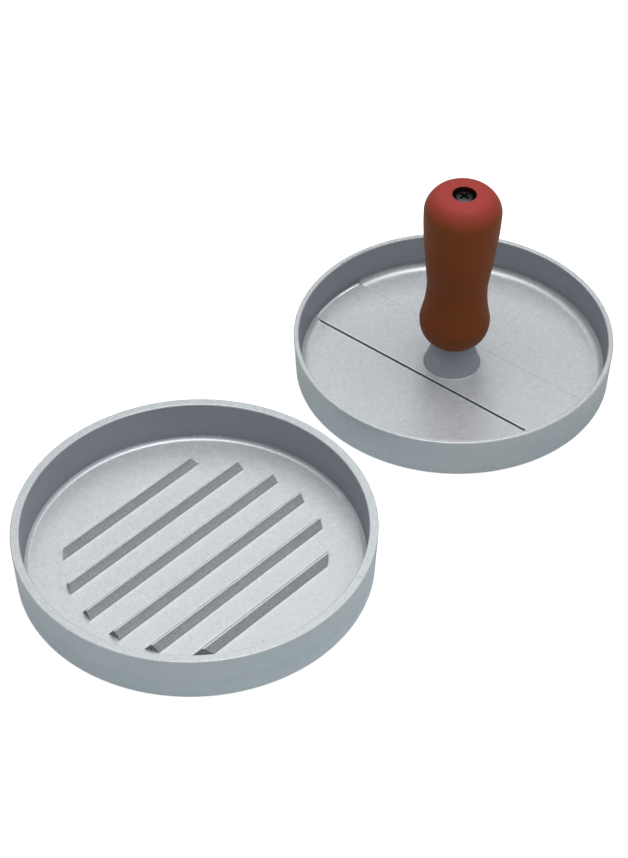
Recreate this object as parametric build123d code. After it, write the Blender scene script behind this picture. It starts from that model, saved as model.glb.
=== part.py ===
from build123d import *
import math
import os

# Hand burger press in two loose castings, standing side by side on a table.
# Millimetres, +Z up.  Origin: centre of the ribbed dish's underside, on the
# table.  +X runs from the dish towards the press plate beside it.

# ---------------------------------------------------------------- dimensions
# ribbed dish (the lower casting, which takes the meat)
DISH_R_RIM = 60.0          # outer radius at the rim
DISH_R_BASE = 59.1         # outer radius at the underside (casting draft)
DISH_H = 17.5              # overall height
DISH_R_MOUTH = 57.0        # inner radius at the rim
DISH_R_FOOT = 56.4         # inner wall radius carried down to the floor
DISH_FLOOR = 2.2           # floor thickness
DISH_FOOT_FILLET = 1.75    # inside corner between floor and wall
DISH_RIM_BREAK = 0.3       # small radii on the rim
DISH_BASE_BREAK = 0.5      # radius on the bottom outer edge

# ribs on the dish floor
RIB_COUNT = 6
RIB_PITCH = 13.0
RIB_HALF_FOOT = 2.3        # half width on the floor
RIB_HALF_TOP = 0.3         # half width of the narrow flat top
RIB_H = 2.9                # height above the floor
RIB_END_R = 43.6           # rib ends are cut on this circle
RIB_ANGLE = -0.8           # direction of the ribs, degrees from +X
RIB_FOOT_FILLET = 0.45

# press plate (the upper casting)
PLATE_X = 130.7            # distance from the dish centre to the plate centre
PLATE_R_RIM = 56.55
PLATE_R_BASE = 55.7
PLATE_H = 15.5
PLATE_R_MOUTH = 54.8
PLATE_R_FOOT = 54.0
PLATE_FLOOR = 1.8
PLATE_FOOT_FILLET = 3.2
PLATE_RIM_BREAK = 0.35
PLATE_BASE_BREAK = 0.5

# flat band cast across the plate floor
BAND_W = 25.0
BAND_TOP = 2.4
BAND_ANGLE = -87.0         # direction of the band, degrees from +X
BAND_FOOT_FILLET = 0.7     # inside corner between the band's ends and the wall

# conical boss that carries the handle
BOSS_R_FOOT = 10.0
BOSS_R_TOP = 6.7
BOSS_TOP = 13.0            # height of the seat above the table
BOSS_FOOT_FILLET = 0.6
TAP_R = 2.05               # tapped hole, plain bore over the screw thread
TAP_BOTTOM = 2.75
LEAN = 1.25                # the boss is faced a little out of square, so the
LEAN_TOWARDS = -47.6       # handle leans: degrees from upright, and azimuth

# turned handle: one smooth outline from the seat to the top, as (radius,
# height) control points of four curves that join with tangents along the
# handle.  Handle, washer and screw are drawn upright and then leaned together.
HANDLE_SEAT_R = 6.3
HANDLE_CURVES = [
    [(HANDLE_SEAT_R, 13.0), (8.0, 13.8), (12.45, 15.8), (12.45, 22.8)],
    [(12.45, 22.8), (12.45, 25.4), (10.65, 28.6), (10.65, 38.2)],
    [(10.65, 38.2), (10.65, 41.6), (13.4, 57.5), (13.4, 70.5)],
    [(13.4, 70.5), (13.4, 73.2), (10.6, 77.6), (8.0, 77.6)],
]
HANDLE_BORE_R = 2.3        # clearance hole for the long screw
HANDLE_POCKET_R = 4.05     # pocket for the screw head, open at the top
HANDLE_POCKET_FLOOR = 73.5
HANDLE_POCKET_RIM = 0.25   # rounding of the pocket's mouth

# washer under the screw head
WASHER_R = 3.7
WASHER_BORE_R = 2.15
WASHER_T = 0.6

# long cross-recess pan-head machine screw, M4 x 70
SCREW_R = 2.0
SCREW_ROOT_R = 1.56
SCREW_PITCH = 0.7
SCREW_THREAD_L = 22.0
SCREW_L = 70.0
SCREW_HEAD_R = 3.6
SCREW_HEAD_H = 2.8
SCREW_HEAD_SIDE = 1.2      # height of the head's straight side under the dome
RECESS_R = 2.15
RECESS_DEPTH = 2.0
RECESS_WING = 1.1
RECESS_ANGLE = -2.6        # turn of the cross recess about Z, degrees


def turned(points):
    """Solid of revolution about Z from a closed (radius, height) outline."""
    pts = [(r, 0, z) for r, z in points]
    face = make_face(Polyline(*pts, close=True))
    return revolve(face, Axis.Z, 360)


def circle_edges(solid, radius, height, tol=0.06):
    """Full-circle edges of the given radius lying at the given height."""
    out = []
    for e in solid.edges().filter_by(GeomType.CIRCLE):
        c = e.arc_center
        if abs(e.radius - radius) < tol and abs(c.Z - height) < tol:
            out.append(e)
    return out


# ------------------------------------------------------------- ribbed dish
dish = turned([
    (0, 0), (DISH_R_BASE, 0), (DISH_R_RIM, DISH_H), (DISH_R_MOUTH, DISH_H),
    (DISH_R_FOOT, DISH_FLOOR), (0, DISH_FLOOR),
])
dish = fillet(circle_edges(dish, DISH_R_FOOT, DISH_FLOOR), DISH_FOOT_FILLET)
dish = fillet(circle_edges(dish, DISH_R_RIM, DISH_H)
              + circle_edges(dish, DISH_R_MOUTH, DISH_H), DISH_RIM_BREAK)
dish = fillet(circle_edges(dish, DISH_R_BASE, 0), DISH_BASE_BREAK)

rib_limit = Pos(0, 0, DISH_FLOOR - 0.6) * Cylinder(
    RIB_END_R, RIB_H + 1.2, align=(Align.CENTER, Align.CENTER, Align.MIN))
wing = RIB_HALF_FOOT + 0.35
sink = 0.5
ribs = []
for k in range(RIB_COUNT):
    y0 = (k - (RIB_COUNT - 1) / 2) * RIB_PITCH
    zf, zt = DISH_FLOOR, DISH_FLOOR + RIB_H
    outline = Polyline(
        (0, y0 - wing, zf - sink), (0, y0 - wing, zf), (0, y0 - RIB_HALF_FOOT, zf),
        (0, y0 - RIB_HALF_TOP, zt), (0, y0 + RIB_HALF_TOP, zt),
        (0, y0 + RIB_HALF_FOOT, zf), (0, y0 + wing, zf), (0, y0 + wing, zf - sink),
        close=True)
    section = make_face(outline)
    corners = [v for v in section.vertices()
               if abs(v.Z - zf) < 1e-6 and abs(abs(v.Y - y0) - RIB_HALF_FOOT) < 1e-6]
    section = fillet(corners, RIB_FOOT_FILLET)
    bar = extrude(section, amount=RIB_END_R + 5, dir=(1, 0, 0), both=True)
    ribs.append(Rot(0, 0, RIB_ANGLE) * bar & rib_limit)
for rib in ribs:
    dish = dish + rib
base_dish = dish.solids()[0] if len(dish.solids()) == 1 else dish

# -------------------------------------------------------------- press plate
plate = turned([
    (0, 0), (PLATE_R_BASE, 0), (PLATE_R_RIM, PLATE_H), (PLATE_R_MOUTH, PLATE_H),
    (PLATE_R_FOOT, PLATE_FLOOR), (0, PLATE_FLOOR),
])
plate = fillet(circle_edges(plate, PLATE_R_FOOT, PLATE_FLOOR), PLATE_FOOT_FILLET)
plate = fillet(circle_edges(plate, PLATE_R_RIM, PLATE_H)
               + circle_edges(plate, PLATE_R_MOUTH, PLATE_H), PLATE_RIM_BREAK)
plate = fillet(circle_edges(plate, PLATE_R_BASE, 0), PLATE_BASE_BREAK)

# The band meets the wall in a tighter corner than the rest of the floor.
wall_slope = (PLATE_R_MOUTH - PLATE_R_FOOT) / (PLATE_H - PLATE_FLOOR)


def wall_r(z):
    return PLATE_R_FOOT + wall_slope * (z - PLATE_FLOOR)


band_bar = Rot(0, 0, BAND_ANGLE) * Pos(0, 0, 1.0) * Box(
    140, BAND_W, 11.0, align=(Align.CENTER, Align.CENTER, Align.MIN))
band_fill = turned([(0, 1.0), (wall_r(1.0) + 1.0, 1.0), (wall_r(BAND_TOP) + 0.8, BAND_TOP),
                    (0, BAND_TOP)]) & band_bar
clear_outline = make_face(Polyline(
    (0, 0, BAND_TOP), (wall_r(BAND_TOP), 0, BAND_TOP), (wall_r(9.0), 0, 9.0), (0, 0, 9.0),
    close=True))
clear_corner = [v for v in clear_outline.vertices()
                if v.X > 10 and abs(v.Z - BAND_TOP) < 1e-6]
clear_outline = fillet(clear_corner, BAND_FOOT_FILLET)
band_clear = revolve(clear_outline, Axis.Z, 360) & band_bar
plate = plate + band_fill
plate = plate - band_clear


def leaned(shape):
    """The upright shape, leaned about the centre of the boss's seat."""
    return (Pos(0, 0, BOSS_TOP) * Rot(0, 0, LEAN_TOWARDS) * Rot(0, LEAN, 0)
            * Rot(0, 0, -LEAN_TOWARDS) * Pos(0, 0, -BOSS_TOP)) * shape


boss_skirt = BOSS_R_FOOT + 1.5
boss_taper = (BOSS_R_FOOT - BOSS_R_TOP) / (BOSS_TOP - BAND_TOP)
boss = turned([
    (0, 1.0), (boss_skirt, 1.0), (boss_skirt, BAND_TOP), (BOSS_R_FOOT, BAND_TOP),
    (BOSS_R_TOP - boss_taper, BOSS_TOP + 1.0), (0, BOSS_TOP + 1.0),
])
boss = fillet(circle_edges(boss, BOSS_R_FOOT, BAND_TOP), BOSS_FOOT_FILLET)
boss = boss - leaned(Pos(0, 0, BOSS_TOP) * Box(
    40, 40, 5, align=(Align.CENTER, Align.CENTER, Align.MIN)))
boss = fillet(boss.edges().sort_by(Axis.Z)[-1], 0.25)
plate = plate + boss
tap = turned([
    (0, TAP_BOTTOM), (TAP_R, TAP_BOTTOM + 1.1), (TAP_R, BOSS_TOP - 0.35),
    (TAP_R + 0.35, BOSS_TOP), (TAP_R + 0.35, BOSS_TOP + 1), (0, BOSS_TOP + 1),
])
plate = plate - leaned(tap)
plate_solid = plate.solids()[0] if len(plate.solids()) == 1 else plate
press_plate = Pos(PLATE_X, 0, 0) * plate_solid

# ------------------------------------------------------------------- handle
side = [Bezier(*[(r, 0, z) for r, z in curve]) for curve in HANDLE_CURVES]
r0, z0 = HANDLE_CURVES[0][0]
r1, z1 = HANDLE_CURVES[-1][-1]
closing = Polyline((r1, 0, z1), (0, 0, z1), (0, 0, z0), (r0, 0, z0))
handle = revolve(make_face([*side, *closing.edges()]), Axis.Z, 360)
bore = turned([
    (0, z0 - 1), (HANDLE_BORE_R, z0 - 1), (HANDLE_BORE_R, HANDLE_POCKET_FLOOR),
    (HANDLE_POCKET_R, HANDLE_POCKET_FLOOR), (HANDLE_POCKET_R, z1 + 1), (0, z1 + 1),
])
handle = handle - bore
handle = fillet(circle_edges(handle, HANDLE_POCKET_R, z1), HANDLE_POCKET_RIM)
handle = Pos(PLATE_X, 0, 0) * leaned(handle.solids()[0])

# ------------------------------------------------------------------- washer
washer_top = HANDLE_POCKET_FLOOR + WASHER_T
washer = turned([
    (WASHER_BORE_R, HANDLE_POCKET_FLOOR), (WASHER_R, HANDLE_POCKET_FLOOR),
    (WASHER_R, washer_top), (WASHER_BORE_R, washer_top),
])
screw_washer = Pos(PLATE_X, 0, 0) * leaned(washer)

# -------------------------------------------------------------------- screw
head_top = washer_top + SCREW_HEAD_H
tip = washer_top - SCREW_L
outline = [(0, tip), (SCREW_ROOT_R - 0.1, tip)]
z = tip + 0.25
while z < tip + SCREW_THREAD_L:
    outline.append((SCREW_ROOT_R, z))
    outline.append((SCREW_R, z + SCREW_PITCH * 0.44))
    outline.append((SCREW_R, z + SCREW_PITCH * 0.56))
    z += SCREW_PITCH
outline.append((SCREW_ROOT_R, z))
outline.append((SCREW_R - 0.06, z + 0.4))
outline.append((SCREW_R - 0.06, washer_top))
outline.append((SCREW_HEAD_R - 0.15, washer_top))
outline.append((SCREW_HEAD_R, washer_top + 0.15))
outline.append((SCREW_HEAD_R, washer_top + SCREW_HEAD_SIDE))
stem = Polyline(*[(r, 0, z) for r, z in outline])
dome = Bezier((SCREW_HEAD_R, 0, washer_top + SCREW_HEAD_SIDE),
              (SCREW_HEAD_R, 0, head_top - 0.45), (2.9, 0, head_top), (0.9, 0, head_top))
axis = Polyline((0.9, 0, head_top), (0, 0, head_top), (0, 0, tip))
screw = revolve(make_face([*stem.edges(), dome, *axis.edges()]), Axis.Z, 360)
cross = Pos(0, 0, head_top - RECESS_DEPTH) * (
    Box(2 * RECESS_R + 1, RECESS_WING, RECESS_DEPTH + 1,
        align=(Align.CENTER, Align.CENTER, Align.MIN))
    + Box(RECESS_WING, 2 * RECESS_R + 1, RECESS_DEPTH + 1,
          align=(Align.CENTER, Align.CENTER, Align.MIN)))
funnel = turned([
    (0, head_top - RECESS_DEPTH), (0.35, head_top - RECESS_DEPTH),
    (0.95, head_top - RECESS_DEPTH + 0.45),
    (RECESS_R, head_top), (RECESS_R + 0.4, head_top + 0.4), (0, head_top + 0.4),
])
recess = Rot(0, 0, RECESS_ANGLE) * (cross & funnel)
screw = screw - recess
handle_screw = Pos(PLATE_X, 0, 0) * leaned(screw.solids()[0])

# -------------------------------------------------------------------- write
os.makedirs("parts", exist_ok=True)
PIECES = {
    "base_dish": base_dish,
    "press_plate": press_plate,
    "handle": handle,
    "screw_washer": screw_washer,
    "handle_screw": handle_screw,
}
for name, shape in PIECES.items():
    shape.label = name
    export_step(shape, os.path.join("parts", name + ".step"))
    b = shape.bounding_box()
    print(f"{name}: solids {len(shape.solids())}, volume {shape.volume:.1f} mm3, "
          f"x {b.min.X:.2f}..{b.max.X:.2f}, y {b.min.Y:.2f}..{b.max.Y:.2f}, "
          f"z {b.min.Z:.2f}..{b.max.Z:.2f}")
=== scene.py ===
import math

import bpy
from mathutils import Matrix, Vector

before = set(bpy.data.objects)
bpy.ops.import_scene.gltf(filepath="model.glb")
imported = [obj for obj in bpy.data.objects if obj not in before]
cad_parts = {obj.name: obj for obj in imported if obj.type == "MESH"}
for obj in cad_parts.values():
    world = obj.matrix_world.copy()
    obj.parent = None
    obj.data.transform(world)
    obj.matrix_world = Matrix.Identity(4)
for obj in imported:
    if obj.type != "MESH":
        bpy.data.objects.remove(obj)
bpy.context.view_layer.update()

MM = 0.001

# ---------------------------------------------------------------- sizes that the materials need, in metres
DISH = dict(
    cx=0.0, r_rim=60.0 * MM, r_mouth=57.0 * MM, r_foot=56.4 * MM,
    z_floor=2.2 * MM, z_rim=17.5 * MM, r_base=59.1 * MM,
)
PLATE = dict(
    cx=130.7 * MM, r_rim=56.55 * MM, r_mouth=54.8 * MM, r_foot=54.0 * MM,
    z_floor=1.8 * MM, z_rim=15.5 * MM, r_base=55.7 * MM,
)
HANDLE_TOP = 77.6 * MM
HANDLE_SEAT = (130.7 * MM, 0.0, 13.0 * MM)
HANDLE_LEAN = math.radians(1.25)
HANDLE_AXIS = (math.sin(HANDLE_LEAN) * math.cos(math.radians(-47.6)), math.sin(HANDLE_LEAN) * math.sin(math.radians(-47.6)),
               math.cos(HANDLE_LEAN))


# ---------------------------------------------------------------- a small helper for node graphs
class Graph:
    """A node tree with short calls for the nodes that the finishes are built from."""

    def __init__(self, tree):
        self.tree = tree
        tree.nodes.clear()

    def node(self, kind, **values):
        made = self.tree.nodes.new(kind)
        for name, value in values.items():
            setattr(made, name, value)
        return made

    def put(self, socket, value):
        if value is None:
            return
        if isinstance(value, bpy.types.NodeSocket):
            self.tree.links.new(value, socket)
        else:
            socket.default_value = value

    def math(self, op, a, b=None, c=None, clamp=False):
        n = self.node("ShaderNodeMath", operation=op, use_clamp=clamp)
        for k, v in enumerate((a, b, c)):
            self.put(n.inputs[k], v)
        return n.outputs[0]

    def vmath(self, op, a, b=None, scale=None):
        n = self.node("ShaderNodeVectorMath", operation=op)
        self.put(n.inputs[0], a)
        self.put(n.inputs[1], b)
        if scale is not None:
            self.put(n.inputs["Scale"], scale)
        return n.outputs["Value"] if op in ("LENGTH", "DOT_PRODUCT", "DISTANCE") else n.outputs[0]

    def split(self, v):
        n = self.node("ShaderNodeSeparateXYZ")
        self.put(n.inputs[0], v)
        return n.outputs[0], n.outputs[1], n.outputs[2]

    def join(self, x, y, z):
        n = self.node("ShaderNodeCombineXYZ")
        for k, v in enumerate((x, y, z)):
            self.put(n.inputs[k], v)
        return n.outputs[0]

    def step(self, x, lo, hi, out_lo=0.0, out_hi=1.0):
        """A smooth step of x from lo to hi."""
        n = self.node("ShaderNodeMapRange", interpolation_type="SMOOTHSTEP")
        self.put(n.inputs["Value"], x)
        self.put(n.inputs["From Min"], lo)
        self.put(n.inputs["From Max"], hi)
        self.put(n.inputs["To Min"], out_lo)
        self.put(n.inputs["To Max"], out_hi)
        return n.outputs["Result"]

    def span(self, x, lo, hi, out_lo, out_hi):
        """A straight, clamped map of x."""
        n = self.node("ShaderNodeMapRange", clamp=True)
        self.put(n.inputs["Value"], x)
        self.put(n.inputs["From Min"], lo)
        self.put(n.inputs["From Max"], hi)
        self.put(n.inputs["To Min"], out_lo)
        self.put(n.inputs["To Max"], out_hi)
        return n.outputs["Result"]

    def mixc(self, t, a, b, blend="MIX"):
        n = self.node("ShaderNodeMix", data_type="RGBA", blend_type=blend)
        self.put(n.inputs[0], t)
        self.put(n.inputs[6], a)
        self.put(n.inputs[7], b)
        return n.outputs[2]

    def mixf(self, t, a, b):
        n = self.node("ShaderNodeMix", data_type="FLOAT")
        self.put(n.inputs[0], t)
        self.put(n.inputs[2], a)
        self.put(n.inputs[3], b)
        return n.outputs[0]

    def noise(self, v, scale, detail=2.0, rough=0.5, distortion=0.0, dims="3D"):
        n = self.node("ShaderNodeTexNoise", noise_dimensions=dims)
        self.put(n.inputs["Vector"], v)
        self.put(n.inputs["Scale"], scale)
        self.put(n.inputs["Detail"], detail)
        self.put(n.inputs["Roughness"], rough)
        self.put(n.inputs["Distortion"], distortion)
        return n.outputs["Fac"]

    def cells(self, v, scale, feature="F1", randomness=1.0):
        n = self.node("ShaderNodeTexVoronoi", feature=feature)
        self.put(n.inputs["Vector"], v)
        self.put(n.inputs["Scale"], scale)
        self.put(n.inputs["Randomness"], randomness)
        return n.outputs["Distance"], n.outputs["Color"]

    def bump(self, height, depth, normal=None, strength=1.0):
        n = self.node("ShaderNodeBump")
        self.put(n.inputs["Strength"], strength)
        self.put(n.inputs["Distance"], depth)
        self.put(n.inputs["Height"], height)
        self.put(n.inputs["Normal"], normal)
        return n.outputs[0]


def material(name):
    m = bpy.data.materials.new(name)
    m.use_nodes = True
    return m, Graph(m.node_tree)


def shader(g, **values):
    b = g.node("ShaderNodeBsdfPrincipled")
    for name, value in values.items():
        g.put(b.inputs[name.replace("_", " ")], value)
    out = g.node("ShaderNodeOutputMaterial")
    g.tree.links.new(b.outputs[0], out.inputs[0])
    return b


# ---------------------------------------------------------------- finishes
def rib_lines(g, x, y, z, r, nz, shifted):
    """The ribs' fine edges, all painted light and shade: a dark line of painted shade at each foot with a painted
    highlight beside it, and a painted highlight on the top edge with a line of painted shadow behind it.
    """
    across = g.math("ADD", g.math("MULTIPLY", y, 0.9999), g.math("MULTIPLY", x, 0.01396))
    s = g.math("WRAP", g.math("SUBTRACT", across, 6.5 * MM), 6.5 * MM, -6.5 * MM)
    off = g.math("ABSOLUTE", s)
    here = g.math("MULTIPLY", g.step(r, 43.9 * MM, 43.6 * MM), g.step(g.math("ABSOLUTE", across), 36.4 * MM, 36.0 * MM))
    patchy = g.step(g.noise(shifted, 160.0, 3.0, 0.6), 0.36, 0.60)
    # painted shade: a dark line at each rib's foot; painted highlight: a bright line just beside it
    foot_painted_shade = g.math("SUBTRACT", 1.0, g.step(g.math("ABSOLUTE", g.math("SUBTRACT", off, 2.25 * MM)), 0.12 * MM, 0.34 * MM))
    foot_painted_highlight = g.math("SUBTRACT", 1.0, g.step(g.math("ABSOLUTE", g.math("SUBTRACT", off, 2.85 * MM)), 0.10 * MM, 0.36 * MM))
    # painted highlight along each rib's top edge and painted shade along its edge away from the floor's near side, both
    # broken up by patchy noise
    crest_painted_highlight = g.math("SUBTRACT", 1.0, g.step(g.math("ABSOLUTE", g.math("ADD", s, 0.06 * MM)), 0.12 * MM, 0.24 * MM))
    far_edge_painted_shade = g.math("SUBTRACT", 1.0, g.step(g.math("ABSOLUTE", g.math("SUBTRACT", s, 0.26 * MM)), 0.06 * MM, 0.20 * MM))
    v = g.math("SUBTRACT", 1.0, g.math("MULTIPLY", foot_painted_shade, 0.22))
    v = g.math("ADD", v, g.math("MULTIPLY", foot_painted_highlight, 0.09))
    v = g.math("ADD", v, g.math("MULTIPLY", g.math("MULTIPLY", crest_painted_highlight, patchy), 0.14))
    v = g.math("SUBTRACT", v, g.math("MULTIPLY", g.math("MULTIPLY", far_edge_painted_shade, patchy), 0.50))
    return g.mixf(here, 1.0, v)


def band_lines(g, x, y, z, r, nz, shifted):
    """The band's two edges: a dark line of painted shade along the step with painted highlights on either side of it,
    and a fine broken line of painted shade along the other edge.
    """
    u = g.math("ADD", g.math("MULTIPLY", x, 0.99863), g.math("MULTIPLY", y, 0.05234))
    here = g.math("MULTIPLY", g.step(r, 53.6 * MM, 53.0 * MM), g.step(z, 3.6 * MM, 3.2 * MM))
    patchy = g.step(g.noise(shifted, 210.0, 3.0, 0.6), 0.34, 0.58)

    def line(at, inner, outer):
        return g.math("SUBTRACT", 1.0, g.step(g.math("ABSOLUTE", g.math("SUBTRACT", u, at)), inner, outer))
    # painted shade along the step's foot, painted highlights on the band's edge and on the floor just outside it, and a
    # broken line of painted shade along the other edge
    v = g.math("SUBTRACT", 1.0, g.math("MULTIPLY", line(-12.62 * MM, 0.10 * MM, 0.27 * MM), 0.64))
    v = g.math("ADD", v, g.math("MULTIPLY", line(-13.25 * MM, 0.12 * MM, 0.55 * MM), 0.13))
    v = g.math("ADD", v, g.math("MULTIPLY", line(-12.00 * MM, 0.12 * MM, 0.50 * MM), 0.10))
    v = g.math("SUBTRACT", v, g.math("MULTIPLY", line(12.5 * MM, 0.10 * MM, 0.26 * MM), g.mixf(patchy, 0.20, 0.40)))
    v = g.mixf(here, 1.0, v)
    # painted highlight: the small sloped faces where the band's two ends meet the wall are brightened
    end_painted_highlight = g.math("MULTIPLY", g.step(g.math("ABSOLUTE", u), 12.65 * MM, 12.4 * MM), g.step(r, 52.9 * MM, 53.2 * MM))
    end_painted_highlight = g.math("MULTIPLY", end_painted_highlight, g.math("MULTIPLY", g.step(nz, 0.99, 0.93), g.step(z, 3.5 * MM, 3.0 * MM)))
    end_painted_highlight = g.math("MULTIPLY", end_painted_highlight, g.step(r, 54.7 * MM, 54.4 * MM))
    return g.math("MULTIPLY", v, g.math("ADD", 1.0, g.math("MULTIPLY", end_painted_highlight, 0.42)))


def casting(name, s, seed, tint, lines):
    """Blasted aluminium casting whose walls, rim and underside are turned; its zone colours and light factors also
    carry painted light and shade.
    """
    m, g = material(name)
    tc = g.node("ShaderNodeTexCoord")
    obj = tc.outputs["Object"]
    here = g.vmath("SUBTRACT", obj, (s["cx"], 0.0, 0.0))
    x, y, z = g.split(here)
    r = g.vmath("LENGTH", g.join(x, y, 0.0))
    around = g.math("ARCTAN2", y, x)
    nx, ny, nz = g.split(tc.outputs["Normal"])

    # where on the casting a point is
    facing_up = g.step(nz, 0.75, 0.97)
    facing_down = g.step(g.math("MULTIPLY", nz, -1.0), 0.75, 0.97)
    at_rim = g.math("MULTIPLY", g.step(z, s["z_rim"] - 0.55 * MM, s["z_rim"] - 0.3 * MM),
                    g.step(r, s["r_mouth"] - 0.5 * MM, s["r_mouth"] - 0.2 * MM))
    outside = g.step(r, s["r_mouth"] + 0.4 * MM, s["r_mouth"] + 0.9 * MM)
    wall_in = g.math("MULTIPLY", g.step(r, s["r_foot"] - 4.0 * MM, s["r_foot"] - 3.0 * MM),
                     g.math("SUBTRACT", 1.0, outside), clamp=True)
    wall_in = g.math("MULTIPLY", wall_in, g.step(nz, tint["wall_from"][0], tint["wall_from"][1]))
    inside = g.math("MULTIPLY", g.step(r, s["r_foot"] - 8.0 * MM, s["r_foot"] - 9.0 * MM), g.step(z, s["z_floor"] + 0.1 * MM, s["z_floor"] + 0.3 * MM))
    sheer_painted_shade = g.math("MULTIPLY", inside, g.step(nz, 0.20, 0.08))
    slope = g.math("MULTIPLY", inside, g.step(nz, 0.95, 0.80))
    foot = g.math("MULTIPLY", g.step(r, s["r_foot"] - 4.0 * MM, s["r_foot"] - 3.0 * MM), g.step(nz, 0.99, 0.95))
    foot = g.math("MULTIPLY", foot, g.step(z, s["z_floor"] + 4.5 * MM, s["z_floor"] + 3.5 * MM))
    below = g.math("MULTIPLY", facing_down, g.step(z, 0.9 * MM, 0.4 * MM), clamp=True)
    off_rim = g.math("MULTIPLY", outside, g.math("SUBTRACT", 1.0, at_rim), clamp=True)
    turned = g.math("MAXIMUM", off_rim, g.math("MAXIMUM", wall_in, below))
    blasted = g.math("SUBTRACT", 1.0, turned, clamp=True)

    # blasted skin: fine grains, mottling, soft clouds and the odd pit
    shifted = g.vmath("ADD", obj, (seed * 0.37, seed * 0.11, seed * 0.23))
    grain = g.noise(shifted, 1500.0, 2.0, 0.62)
    mottle = g.noise(shifted, 520.0, 3.0, 0.6)
    cloud = g.noise(shifted, 70.0, 3.0, 0.55, 0.4)
    drift = g.noise(shifted, 22.0, 2.0, 0.5)
    pit_d, pit_c = g.cells(shifted, 190.0)
    pit_pick = g.step(g.split(pit_c)[0], 0.80, 0.86)
    pits = g.math("MULTIPLY", g.step(pit_d, 0.13, 0.05), pit_pick)

    # turned skin: very fine grooves round the axis, seen along r on flat faces and along z on walls
    groove_v = g.join(g.math("MULTIPLY", r, 1.0), g.math("MULTIPLY", around, 0.0006), z)
    groove = g.noise(groove_v, 5200.0, 3.0, 0.65)
    streak_v = g.join(g.math("MULTIPLY", r, 1.0), g.math("MULTIPLY", around, 0.004), z)
    streak = g.noise(streak_v, 900.0, 3.0, 0.6)

    # colour
    light = g.math("ADD", 1.0, g.math("MULTIPLY", g.math("SUBTRACT", grain, 0.5), g.mixf(blasted, 0.16, g.mixf(at_rim, 0.38, 0.55))))
    light = g.math("MULTIPLY", light, g.math("ADD", 1.0, g.math("MULTIPLY", g.math("SUBTRACT", mottle, 0.5), g.mixf(blasted, 0.16, 0.22))))
    light = g.math("MULTIPLY", light, g.math("ADD", 1.0, g.math("MULTIPLY", g.math("SUBTRACT", cloud, 0.5), 0.05)))
    light = g.math("MULTIPLY", light, g.math("ADD", 1.0, g.math("MULTIPLY", g.math("SUBTRACT", drift, 0.5), 0.04)))
    light = g.math("MULTIPLY", light, g.math("ADD", 1.0, g.math("MULTIPLY", g.math("MULTIPLY", g.math("SUBTRACT", streak, 0.5), turned), 0.05)))
    light = g.math("MULTIPLY", light, g.math("SUBTRACT", 1.0, g.math("MULTIPLY", g.math("MULTIPLY", pits, blasted), 0.16)))
    light = g.math("MULTIPLY", light, g.math("ADD", 1.0, g.math("MULTIPLY", g.math("MULTIPLY", g.math("SUBTRACT", grain, 0.5), slope), tint["slope_grain"])))
    fleck_d, fleck_c = g.cells(shifted, 420.0)
    flecks = g.math("MULTIPLY", g.step(fleck_d, 0.30, 0.14), g.step(g.split(fleck_c)[0], 0.90, 0.93))
    light = g.math("MULTIPLY", light, g.math("ADD", 1.0, g.math("MULTIPLY", g.math("MULTIPLY", flecks, blasted), 0.10)))
    light = g.math("MULTIPLY", light, lines(g, x, y, z, r, nz, shifted))

    # painted light: the outside runs a little lighter low down and, on the dish, a touch darker high up; painted shade
    # dulls the inside corner a little, and painted light and shade make the inner wall darker low down and lighter as
    # it rises
    painted_light_outside = g.step(z, 0.0, 7.5 * MM, tint["wall_low"], 1.0)
    painted_light_outside = g.math("MULTIPLY", painted_light_outside, g.step(z, 9.0 * MM, 17.0 * MM, 1.0, tint["wall_high"]))
    light = g.math("MULTIPLY", light, g.mixf(off_rim, 1.0, painted_light_outside))
    # painted shade: the steep lower part of the inside corner is darkened
    corner = g.math("MULTIPLY", g.step(nz, tint["corner_from"], 0.50), g.step(z, s["z_floor"] + 4.5 * MM, s["z_floor"] + 1.5 * MM))
    corner = g.math("MULTIPLY", corner, g.step(r, s["r_foot"] - 4.0 * MM, s["r_foot"] - 3.0 * MM))
    corner = g.math("MULTIPLY", corner, g.math("SUBTRACT", 1.0, outside, clamp=True))
    light = g.math("MULTIPLY", light, g.math("SUBTRACT", 1.0, g.math("MULTIPLY", corner, tint["corner"])))
    # painted highlight: the floor ring and fillet at the wall's foot are brightened
    fillet_painted_light = g.math("MULTIPLY", foot, g.math("SUBTRACT", 1.0, g.math("MAXIMUM", wall_in, outside)))
    light = g.math("MULTIPLY", light, g.mixf(fillet_painted_light, 1.0, tint["foot_light"]))
    # painted highlight: the fillet's steeper part is brightened further
    fillet_steep_painted_highlight = g.math("MULTIPLY", g.math("MULTIPLY", foot, g.math("SUBTRACT", 1.0, outside, clamp=True)), g.step(nz, 0.90, 0.60))
    fillet_steep_painted_highlight = g.math("MULTIPLY", fillet_steep_painted_highlight, g.step(nz, 0.05, 0.25))
    light = g.math("MULTIPLY", light, g.math("ADD", 1.0, g.math("MULTIPLY", fillet_steep_painted_highlight, tint["foot_upper"])))
    # painted light and shade: the inner wall is darker low down and lighter as it rises
    wall_painted_rise = g.span(z, s["z_floor"], s["z_rim"], tint["wall_rise"][0], tint["wall_rise"][1])
    light = g.math("MULTIPLY", light, g.math("ADD", 1.0, g.math("MULTIPLY", wall_painted_rise, wall_in)))
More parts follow.
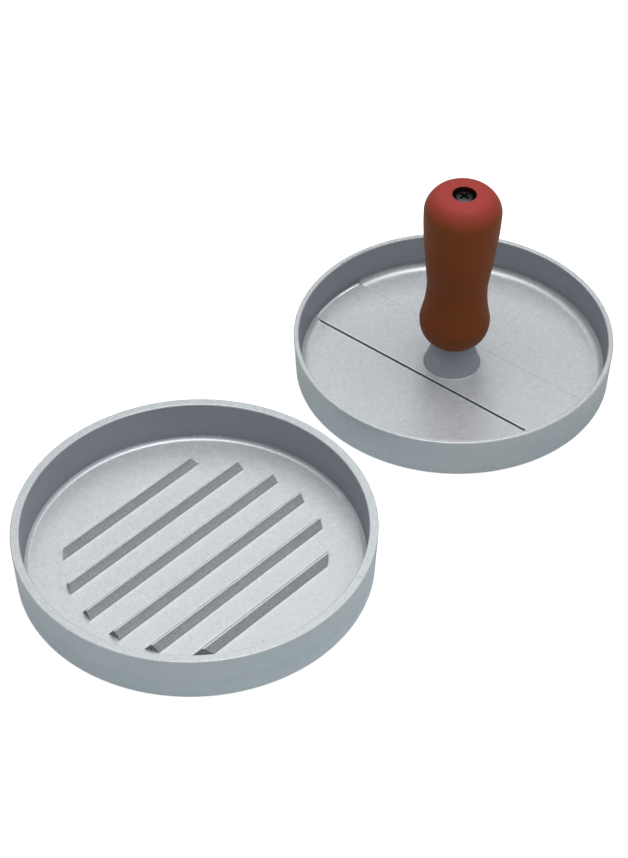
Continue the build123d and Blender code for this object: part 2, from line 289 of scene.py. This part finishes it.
    # painted light and shade: the floor ring at the wall's foot (brighter on the dish, darker on the plate), the inner
    # wall, sloped faces and steep faces inside are coloured apart from the floor though the metal is one; the outer
    # wall's darker, greener colour is partly its turned finish and partly painted shade
    zone = g.mixc(foot, tint["floor"], tint["foot"])
    zone = g.mixc(wall_in, zone, tint["wall_in"])
    tone = g.step(g.noise(g.join(x, y, g.math("MULTIPLY", z, 0.4)), 26.0, 2.0, 0.5), 0.36, 0.64)
    zone = g.mixc(outside, zone, g.mixc(tone, tint["wall_out"], tint["wall_out_b"]))
    zone = g.mixc(at_rim, zone, tint["rim"])
    zone = g.mixc(below, zone, tint["floor"])
    zone = g.mixc(slope, zone, tint["slope"])
    zone = g.mixc(sheer_painted_shade, zone, tint["sheer_painted_shade"])
    colour = g.mixc(1.0, zone, g.join(light, light, light), "MULTIPLY")

    # worn, brighter edges: rim corners and base corner
    def ring(r0, z0, w):
        d = g.vmath("LENGTH", g.join(g.math("SUBTRACT", r, r0), g.math("SUBTRACT", z, z0), 0.0))
        return g.step(d, w, w * 0.35)
    wear = g.math("MAXIMUM", ring(s["r_rim"], s["z_rim"], 0.7 * MM), ring(s["r_mouth"], s["z_rim"], 0.6 * MM))
    wear = g.math("MAXIMUM", wear, ring(s["r_base"], 0.0, 1.0 * MM))
    patchy = g.step(g.noise(shifted, 240.0, 3.0, 0.6), 0.35, 0.62)
    wear = g.math("MULTIPLY", wear, g.mixf(patchy, 0.35, 1.0))
    colour = g.mixc(g.math("MULTIPLY", wear, 0.5), colour, (0.86, 0.87, 0.88, 1.0))

    rough = g.mixf(turned, g.span(mottle, 0.3, 0.7, tint["rough"] - 0.05, tint["rough"] + 0.05),
                   g.span(streak, 0.3, 0.7, tint["rough_turned"] - 0.04, tint["rough_turned"] + 0.04))
    rough = g.mixf(wear, rough, 0.36)

    skin = g.math("ADD", g.math("MULTIPLY", grain, 0.55), g.math("MULTIPLY", mottle, 0.45))
    skin = g.math("SUBTRACT", skin, g.math("MULTIPLY", pits, 0.8))
    n1 = g.bump(g.math("MULTIPLY", skin, blasted), 0.045 * MM)
    n2 = g.bump(g.math("MULTIPLY", g.math("ADD", groove, g.math("MULTIPLY", streak, 0.5)), turned), 0.004 * MM, n1)
    shader(g, Base_Color=colour, Metallic=0.47, Roughness=rough, Specular_IOR_Level=0.0, Normal=n2)
    return m


def handle_finish():
    """Smooth matte red-brown plastic: faint moulded orange peel, soft colour drift, a few fine scuffs; painted light
    makes upward faces lighter and redder, painted shade darkens downward faces and the screw's recess.
    """
    m, g = material("handle_plastic_matte")
    tc = g.node("ShaderNodeTexCoord")
    obj = tc.outputs["Object"]
    x, y, z = g.split(obj)
    cloud = g.noise(obj, 90.0, 3.0, 0.55, 0.3)
    peel = g.noise(obj, 1100.0, 2.0, 0.5)
    fine = g.noise(obj, 3200.0, 2.0, 0.6)
    speck_d, speck_c = g.cells(obj, 420.0)
    specks = g.math("MULTIPLY", g.step(speck_d, 0.16, 0.06), g.step(g.split(speck_c)[1], 0.90, 0.94))
    nx, ny, nz = g.split(tc.outputs["Normal"])
    # painted light: upward faces get a lighter, redder colour; painted shade: downward faces get a darker colour
    top_painted_light = g.step(nz, 0.12, 0.88)
    under_painted_shade = g.step(nz, -0.15, -0.70)
    colour = g.mixc(g.step(cloud, 0.3, 0.7), (0.258, 0.066, 0.0148, 1.0), (0.277, 0.072, 0.0170, 1.0))
    colour = g.mixc(g.step(z, 42.0 * MM, 30.0 * MM), colour, (0.283, 0.079, 0.0215, 1.0))
    colour = g.mixc(top_painted_light, colour, (0.485, 0.074, 0.0665, 1.0))
    colour = g.mixc(under_painted_shade, colour, (0.196, 0.070, 0.0065, 1.0))
    colour = g.mixc(g.math("MULTIPLY", specks, 0.25), colour, (0.42, 0.16, 0.12, 1.0))
    # painted shade: the inside of the screw's recess is made nearly black
    from_axis = g.vmath("LENGTH", g.vmath("CROSS_PRODUCT", g.vmath("SUBTRACT", obj, HANDLE_SEAT), HANDLE_AXIS))
    pocket_painted_shade = g.math("MULTIPLY", g.step(from_axis, 4.30 * MM, 4.06 * MM), g.step(z, 70.0 * MM, 71.0 * MM))
    colour = g.mixc(g.math("MULTIPLY", pocket_painted_shade, 0.88), colour, (0.010, 0.006, 0.004, 1.0))
    rough = g.span(g.math("ADD", g.math("MULTIPLY", cloud, 0.6), g.math("MULTIPLY", fine, 0.4)), 0.3, 0.7, 0.47, 0.56)
    n1 = g.bump(peel, 0.006 * MM)
    n2 = g.bump(fine, 0.0015 * MM, n1)
    shader(g, Base_Color=colour, Metallic=0.0, Roughness=rough, Specular_IOR_Level=0.1, Normal=n2)
    return m


def steel_finish():
    """Zinc-plated screw steel, finely drawn round the axis, with a faint bluish passivation; its colour is set very
    dark, as painted shade of the recess it sits in.
    """
    m, g = material("screw_steel_zinc")
    tc = g.node("ShaderNodeTexCoord")
    here = g.vmath("SUBTRACT", tc.outputs["Object"], (PLATE["cx"], 0.0, 0.0))
    x, y, z = g.split(here)
    r = g.vmath("LENGTH", g.join(x, y, 0.0))
    turn = g.noise(g.join(r, g.math("MULTIPLY", g.math("ARCTAN2", y, x), 0.0002), z), 9000.0, 3.0, 0.6)
    cloud = g.noise(here, 700.0, 3.0, 0.6)
    grime = g.step(g.noise(here, 1500.0, 2.0, 0.6), 0.45, 0.75)
    # painted shade: the steel's colour is set very dark to stand for the shade of the recess the screw sits in
    colour = g.mixc(g.step(cloud, 0.3, 0.7), (0.050, 0.062, 0.062, 1.0), (0.085, 0.096, 0.092, 1.0))
    colour = g.mixc(g.math("MULTIPLY", grime, 0.35), colour, (0.012, 0.011, 0.010, 1.0))
    rough = g.span(turn, 0.3, 0.7, 0.28, 0.44)
    shader(g, Base_Color=colour, Metallic=1.0, Roughness=rough, Normal=g.bump(turn, 0.004 * MM))
    return m


# Zone colours and light factors per casting: the floor and rim colours are the metal's own; the inner-wall, foot,
# sloped-face and steep-face colours and the factors for the outside's height, the inside corner, the fillet and the
# wall's rise are painted light and shade; the outer-wall colours are partly the turned finish and partly painted shade
DISH_TINT = dict(floor=(0.762, 0.785, 0.816, 1.0), rim=(0.738, 0.783, 0.811, 1.0), wall_in=(0.398, 0.412, 0.455, 1.0),
                 wall_out=(0.575, 0.665, 0.710, 1.0), wall_out_b=(0.600, 0.688, 0.712, 1.0), foot=(0.79, 0.815, 0.85, 1.0),
                 slope=(0.63, 0.65, 0.68, 1.0), slope_grain=0.35, wall_low=1.24, wall_high=0.96,
                 wall_from=(0.62, 0.28), wall_rise=(-0.05, 0.11), corner=0.05, corner_from=0.88, foot_upper=0.17, foot_light=1.06, sheer_painted_shade=(0.24, 0.262, 0.268, 1.0), rough=0.42, rough_turned=0.40)
PLATE_TINT = dict(floor=(0.74, 0.777, 0.81, 1.0), rim=(0.752, 0.798, 0.828, 1.0), wall_in=(0.348, 0.372, 0.41, 1.0),
                  wall_out=(0.505, 0.567, 0.602, 1.0), wall_out_b=(0.530, 0.588, 0.597, 1.0), foot=(0.72, 0.76, 0.79, 1.0),
                  slope=(0.525, 0.545, 0.595, 1.0), slope_grain=-0.22, wall_low=1.13, wall_high=1.0,
                  wall_from=(0.58, 0.22), wall_rise=(-0.09, 0.10), corner=0.22, corner_from=0.93, foot_upper=0.05, foot_light=1.10, sheer_painted_shade=(0.12, 0.12, 0.125, 1.0), rough=0.42, rough_turned=0.40)
finishes = {
    "base_dish": casting("cast_aluminium_dish", DISH, 1.0, DISH_TINT, rib_lines),
    "press_plate": casting("cast_aluminium_plate", PLATE, 2.0, PLATE_TINT, band_lines),
    "handle": handle_finish(),
    "handle_screw": steel_finish(),
    "screw_washer": None,
}
finishes["screw_washer"] = finishes["handle_screw"]
for node, finish in finishes.items():
    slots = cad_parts[node].material_slots
    for k in range(len(slots)):
        slots[k].material = finish

# ---------------------------------------------------------------- floor
# A pale floor: it glows a little, as an overlit studio table does, and is lifted to white where it is seen directly.
FLOOR_GLOW = 0.09
FLOOR_LIFT = 0.62
mesh = bpy.data.meshes.new("studio_floor")
half = 6.0
mesh.from_pydata([(-half, -half, 0), (half, -half, 0), (half, half, 0), (-half, half, 0)], [], [(0, 1, 2, 3)])
floor = bpy.data.objects.new("studio_floor", mesh)
floor.location = (0.065, 0.0, -0.00005)
bpy.context.scene.collection.objects.link(floor)
m, g = material("studio_floor_white")
tc = g.node("ShaderNodeTexCoord")
haze = g.noise(tc.outputs["Object"], 3.0, 2.0, 0.5)
white = g.mixc(haze, (0.86, 0.86, 0.86, 1.0), (0.88, 0.88, 0.88, 1.0))
shader(g, Base_Color=white, Roughness=0.9, Emission_Color=(1.0, 1.0, 1.0, 1.0), Emission_Strength=FLOOR_GLOW)
lit = [n for n in m.node_tree.nodes if n.type == "BSDF_PRINCIPLED"][0]
out = [n for n in m.node_tree.nodes if n.type == "OUTPUT_MATERIAL"][0]
lift = g.node("ShaderNodeEmission")
lift.inputs["Strength"].default_value = FLOOR_LIFT
path = g.node("ShaderNodeLightPath")
fade = g.node("ShaderNodeMixShader")
both = g.node("ShaderNodeAddShader")
m.node_tree.links.new(path.outputs["Is Camera Ray"], fade.inputs[0])
m.node_tree.links.new(lit.outputs[0], fade.inputs[1])
m.node_tree.links.new(lit.outputs[0], both.inputs[0])
m.node_tree.links.new(lift.outputs[0], both.inputs[1])
m.node_tree.links.new(both.outputs[0], fade.inputs[2])
m.node_tree.links.new(fade.outputs[0], out.inputs[0])
mesh.materials.append(m)

# ---------------------------------------------------------------- camera, set from the circles of both castings
sc = bpy.context.scene
RIGHT_AZ = math.radians(-47.57)
cam_data = bpy.data.cameras.new("photo_camera")
cam_data.sensor_fit = "AUTO"
cam_data.sensor_width = 36.0
cam_data.lens = 2494.04 * 36.0 / 858.0
cam_data.clip_start = 0.01
cam_data.clip_end = 50.0
cam = bpy.data.objects.new("photo_camera", cam_data)
cam.location = (-0.39405, -0.41310, 0.59633)
cam.rotation_euler = (math.radians(46.695 + 0.0115), 0.0, RIGHT_AZ + math.radians(0.0158))
sc.collection.objects.link(cam)
sc.camera = cam

# ---------------------------------------------------------------- light
LIGHT_CENTRE = Vector((0.065, 0.0, 0.02))


def softbox(name, azimuth, elevation, distance, size, power, colour=(1.0, 1.0, 1.0)):
    """A square soft light that faces the object. Azimuth is measured from the camera's own side, clockwise from above."""
    toward = math.radians(-137.57 - azimuth)
    e = math.radians(elevation)
    d = Vector((math.cos(toward) * math.cos(e), math.sin(toward) * math.cos(e), math.sin(e)))
    data = bpy.data.lights.new(name, "AREA")
    data.shape = "SQUARE"
    data.size = size
    data.energy = power
    data.color = colour
    lamp = bpy.data.objects.new(name, data)
    lamp.location = LIGHT_CENTRE + d * distance
    lamp.rotation_mode = "QUATERNION"
    lamp.rotation_quaternion = d.to_track_quat("Z", "Y")
    sc.collection.objects.link(lamp)
    return lamp


softbox("light_top", 0.0, 90.0, 1.6, 0.75, 4.8)
softbox("light_top_front", 0.0, 70.0, 1.6, 0.75, 4.2)
softbox("light_top_back", 180.0, 70.0, 1.6, 0.75, 2.2)
softbox("light_top_left", 90.0, 70.0, 1.6, 0.75, 2.1)
softbox("light_top_right", 270.0, 70.0, 1.6, 0.75, 4.45)
softbox("light_back", 180.0, 50.0, 1.6, 0.75, 1.85)
softbox("light_back_left", 135.0, 50.0, 1.6, 0.75, 0.7)
softbox("light_back_right", 225.0, 50.0, 1.6, 0.75, 1.3)
softbox("light_front_right", 315.0, 25.0, 1.6, 0.75, 0.6)

world = bpy.data.worlds.new("studio")
sc.world = world
world.use_nodes = True
g = Graph(world.node_tree)
path = g.node("ShaderNodeLightPath")
amb = g.node("ShaderNodeBackground")
amb.inputs["Color"].default_value = (0.9, 0.95, 1.0, 1.0)
amb.inputs["Strength"].default_value = 0.01
seen = g.node("ShaderNodeBackground")
seen.inputs["Color"].default_value = (0.98, 0.98, 0.98, 1.0)
seen.inputs["Strength"].default_value = 1.0
mix = g.node("ShaderNodeMixShader")
g.tree.links.new(path.outputs["Is Camera Ray"], mix.inputs[0])
g.tree.links.new(amb.outputs[0], mix.inputs[1])
g.tree.links.new(seen.outputs[0], mix.inputs[2])
wo = g.node("ShaderNodeOutputWorld")
g.tree.links.new(mix.outputs[0], wo.inputs[0])

sc.view_settings.view_transform = "Standard"
sc.view_settings.look = "None"
sc.view_settings.exposure = 0.0
sc.view_settings.gamma = 1.0
